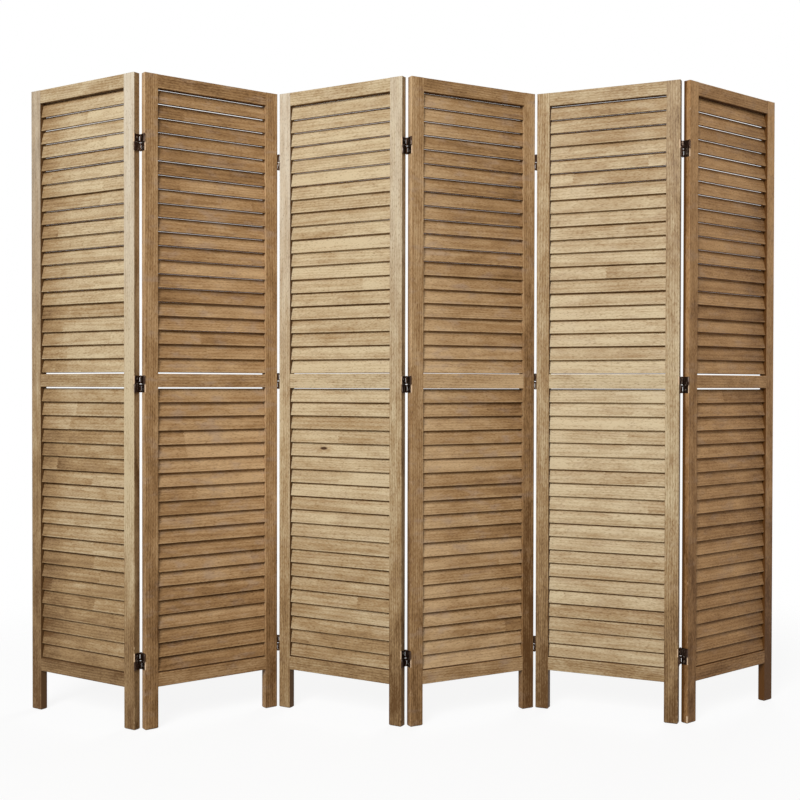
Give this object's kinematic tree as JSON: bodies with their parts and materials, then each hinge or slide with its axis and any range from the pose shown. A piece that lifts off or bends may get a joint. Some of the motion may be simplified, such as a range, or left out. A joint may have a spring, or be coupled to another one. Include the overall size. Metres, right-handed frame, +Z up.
{
  "type": "rotating slat room divider",
  "caption": "Free-standing folding screen: framed wooden panels on legs, standing in a zigzag on double-acting hinges, with an upper and a lower bay of slats that turn on end pivots.",
  "frame": {"origin": "middle of the standing row's bounding box, at floor level", "axes": "+X along the row to the right as seen from the front, +Y to the back, +Z up"},
  "size_m": [2.079, 0.3382, 1.7],
  "materials": {
    "frame_wood": "stained, brushed softwood with a matte coat",
    "slat_wood": "stained thin softwood slats with a matte coat",
    "hinge_bronze": "dark bronze, semi-gloss",
    "screw_steel": "dark bronze, semi-gloss"
  },
  "bodies": {
    "panel_1": {"panel_1_stiles": "frame_wood", "panel_1_rails": "frame_wood", "panel_1_slats": "slat_wood", "panel_1_hinge_leaves": "hinge_bronze", "panel_1_hinge_links": "hinge_bronze", "panel_1_hinge_screws": "screw_steel"},
    "panel_2": {"panel_2_stiles": "frame_wood", "panel_2_rails": "frame_wood", "panel_2_slats": "slat_wood", "panel_2_hinge_leaves": "hinge_bronze", "panel_2_hinge_links": "hinge_bronze", "panel_2_hinge_screws": "screw_steel"},
    "panel_3": {"panel_3_stiles": "frame_wood", "panel_3_rails": "frame_wood", "panel_3_slats": "slat_wood", "panel_3_hinge_leaves": "hinge_bronze", "panel_3_hinge_links": "hinge_bronze", "panel_3_hinge_screws": "screw_steel"},
    "panel_4": {"panel_4_stiles": "frame_wood", "panel_4_rails": "frame_wood", "panel_4_slats": "slat_wood", "panel_4_hinge_leaves": "hinge_bronze", "panel_4_hinge_links": "hinge_bronze", "panel_4_hinge_screws": "screw_steel"},
    "panel_5": {"panel_5_stiles": "frame_wood", "panel_5_rails": "frame_wood", "panel_5_slats": "slat_wood", "panel_5_hinge_leaves": "hinge_bronze", "panel_5_hinge_links": "hinge_bronze", "panel_5_hinge_screws": "screw_steel"},
    "panel_6": {"panel_6_stiles": "frame_wood", "panel_6_rails": "frame_wood", "panel_6_slats": "slat_wood", "panel_6_hinge_leaves": "hinge_bronze", "panel_6_hinge_links": "hinge_bronze", "panel_6_hinge_screws": "screw_steel"},
    "panel_3_slat_01": {"panel_3_slat_01": "slat_wood"},
    "panel_3_slat_02": {"panel_3_slat_02": "slat_wood"},
    "panel_3_slat_03": {"panel_3_slat_03": "slat_wood"},
    "panel_3_slat_04": {"panel_3_slat_04": "slat_wood"},
    "panel_3_slat_05": {"panel_3_slat_05": "slat_wood"},
    "panel_3_slat_06": {"panel_3_slat_06": "slat_wood"},
    "panel_3_slat_07": {"panel_3_slat_07": "slat_wood"},
    "panel_3_slat_08": {"panel_3_slat_08": "slat_wood"},
    "panel_3_slat_09": {"panel_3_slat_09": "slat_wood"},
    "panel_3_slat_10": {"panel_3_slat_10": "slat_wood"},
    "panel_3_slat_11": {"panel_3_slat_11": "slat_wood"},
    "panel_3_slat_12": {"panel_3_slat_12": "slat_wood"},
    "panel_3_slat_13": {"panel_3_slat_13": "slat_wood"},
    "panel_3_slat_14": {"panel_3_slat_14": "slat_wood"},
    "panel_3_slat_15": {"panel_3_slat_15": "slat_wood"},
    "panel_3_slat_16": {"panel_3_slat_16": "slat_wood"},
    "panel_3_slat_17": {"panel_3_slat_17": "slat_wood"},
    "panel_3_slat_18": {"panel_3_slat_18": "slat_wood"},
    "panel_3_slat_19": {"panel_3_slat_19": "slat_wood"},
    "panel_3_slat_20": {"panel_3_slat_20": "slat_wood"}
  },
  "joints": [
    {"name": "fold_1_2", "type": "hinge", "parent": "panel_2", "child": "panel_1", "pos_m": [-0.69608, -0.14843, 0.85], "axis": [0, 0, 1], "range_deg": [-111.5, 68.5]},
    {"name": "fold_2_3", "type": "hinge", "parent": "panel_3", "child": "panel_2", "pos_m": [-0.36197, 0.06713, 0.85], "axis": [0, 0, -1], "range_deg": [-114, 66]},
    {"name": "fold_3_4", "type": "hinge", "parent": "panel_3", "child": "panel_4", "pos_m": [-0.00716, -0.11232, 0.85], "axis": [0, 0, -1], "range_deg": [-121, 59]},
    {"name": "fold_4_5", "type": "hinge", "parent": "panel_4", "child": "panel_5", "pos_m": [0.35073, 0.06091, 0.85], "axis": [0, 0, 1], "range_deg": [-127, 53]},
    {"name": "fold_5_6", "type": "hinge", "parent": "panel_5", "child": "panel_6", "pos_m": [0.72236, -0.08047, 0.85], "axis": [0, 0, -1], "range_deg": [-116.5, 63.5]},
    {"name": "turn_slat_01", "type": "hinge", "parent": "panel_3", "child": "panel_3_slat_01", "pos_m": [-0.18456, -0.0226, 1.64313], "axis": [-0.866, 0.5, 0], "range_deg": [-2, 143.5]},
    {"name": "turn_slat_02", "type": "hinge", "parent": "panel_3", "child": "panel_3_slat_02", "pos_m": [-0.18456, -0.0226, 1.60644], "axis": [-0.866, 0.5, 0], "range_deg": [-5, 140.5]},
    {"name": "turn_slat_03", "type": "hinge", "parent": "panel_3", "child": "panel_3_slat_03", "pos_m": [-0.18456, -0.0226, 1.56976], "axis": [-0.866, 0.5, 0], "range_deg": [-2.5, 143]},
    {"name": "turn_slat_04", "type": "hinge", "parent": "panel_3", "child": "panel_3_slat_04", "pos_m": [-0.18456, -0.0226, 1.53307], "axis": [-0.866, 0.5, 0], "range_deg": [-4, 141.5]},
    {"name": "turn_slat_05", "type": "hinge", "parent": "panel_3", "child": "panel_3_slat_05", "pos_m": [-0.18456, -0.0226, 1.49639], "axis": [-0.866, 0.5, 0], "range_deg": [-3.5, 142]},
    {"name": "turn_slat_06", "type": "hinge", "parent": "panel_3", "child": "panel_3_slat_06", "pos_m": [-0.18456, -0.0226, 1.45971], "axis": [-0.866, 0.5, 0], "range_deg": [-4.5, 141]},
    {"name": "turn_slat_07", "type": "hinge", "parent": "panel_3", "child": "panel_3_slat_07", "pos_m": [-0.18456, -0.0226, 1.42302], "axis": [-0.866, 0.5, 0], "range_deg": [-3, 142.5]},
    {"name": "turn_slat_08", "type": "hinge", "parent": "panel_3", "child": "panel_3_slat_08", "pos_m": [-0.18456, -0.0226, 1.38634], "axis": [-0.866, 0.5, 0], "range_deg": [-3, 142.5]},
    {"name": "turn_slat_09", "type": "hinge", "parent": "panel_3", "child": "panel_3_slat_09", "pos_m": [-0.18456, -0.0226, 1.34965], "axis": [-0.866, 0.5, 0], "range_deg": [-3, 142.5]},
    {"name": "turn_slat_10", "type": "hinge", "parent": "panel_3", "child": "panel_3_slat_10", "pos_m": [-0.18456, -0.0226, 1.31297], "axis": [-0.866, 0.5, 0], "range_deg": [-5, 140.5]},
    {"name": "turn_slat_11", "type": "hinge", "parent": "panel_3", "child": "panel_3_slat_11", "pos_m": [-0.18456, -0.0226, 1.27628], "axis": [-0.866, 0.5, 0], "range_deg": [-2.5, 143]},
    {"name": "turn_slat_12", "type": "hinge", "parent": "panel_3", "child": "panel_3_slat_12", "pos_m": [-0.18456, -0.0226, 1.2396], "axis": [-0.866, 0.5, 0], "range_deg": [-3.5, 142]},
    {"name": "turn_slat_13", "type": "hinge", "parent": "panel_3", "child": "panel_3_slat_13", "pos_m": [-0.18456, -0.0226, 1.20291], "axis": [-0.866, 0.5, 0], "range_deg": [-4.5, 141]},
    {"name": "turn_slat_14", "type": "hinge", "parent": "panel_3", "child": "panel_3_slat_14", "pos_m": [-0.18456, -0.0226, 1.16623], "axis": [-0.866, 0.5, 0], "range_deg": [-2, 143.5]},
    {"name": "turn_slat_15", "type": "hinge", "parent": "panel_3", "child": "panel_3_slat_15", "pos_m": [-0.18456, -0.0226, 1.12954], "axis": [-0.866, 0.5, 0], "range_deg": [-2.5, 143]},
    {"name": "turn_slat_16", "type": "hinge", "parent": "panel_3", "child": "panel_3_slat_16", "pos_m": [-0.18456, -0.0226, 1.09286], "axis": [-0.866, 0.5, 0], "range_deg": [-6, 139.5]},
    {"name": "turn_slat_17", "type": "hinge", "parent": "panel_3", "child": "panel_3_slat_17", "pos_m": [-0.18456, -0.0226, 1.05618], "axis": [-0.866, 0.5, 0], "range_deg": [-2, 143.5]},
    {"name": "turn_slat_18", "type": "hinge", "parent": "panel_3", "child": "panel_3_slat_18", "pos_m": [-0.18456, -0.0226, 1.01949], "axis": [-0.866, 0.5, 0], "range_deg": [-4.5, 141]},
    {"name": "turn_slat_19", "type": "hinge", "parent": "panel_3", "child": "panel_3_slat_19", "pos_m": [-0.18456, -0.0226, 0.98281], "axis": [-0.866, 0.5, 0], "range_deg": [-3.5, 142]},
    {"name": "turn_slat_20", "type": "hinge", "parent": "panel_3", "child": "panel_3_slat_20", "pos_m": [-0.18456, -0.0226, 0.94612], "axis": [-0.866, 0.5, 0], "range_deg": [-6, 139.5]}
  ]
}
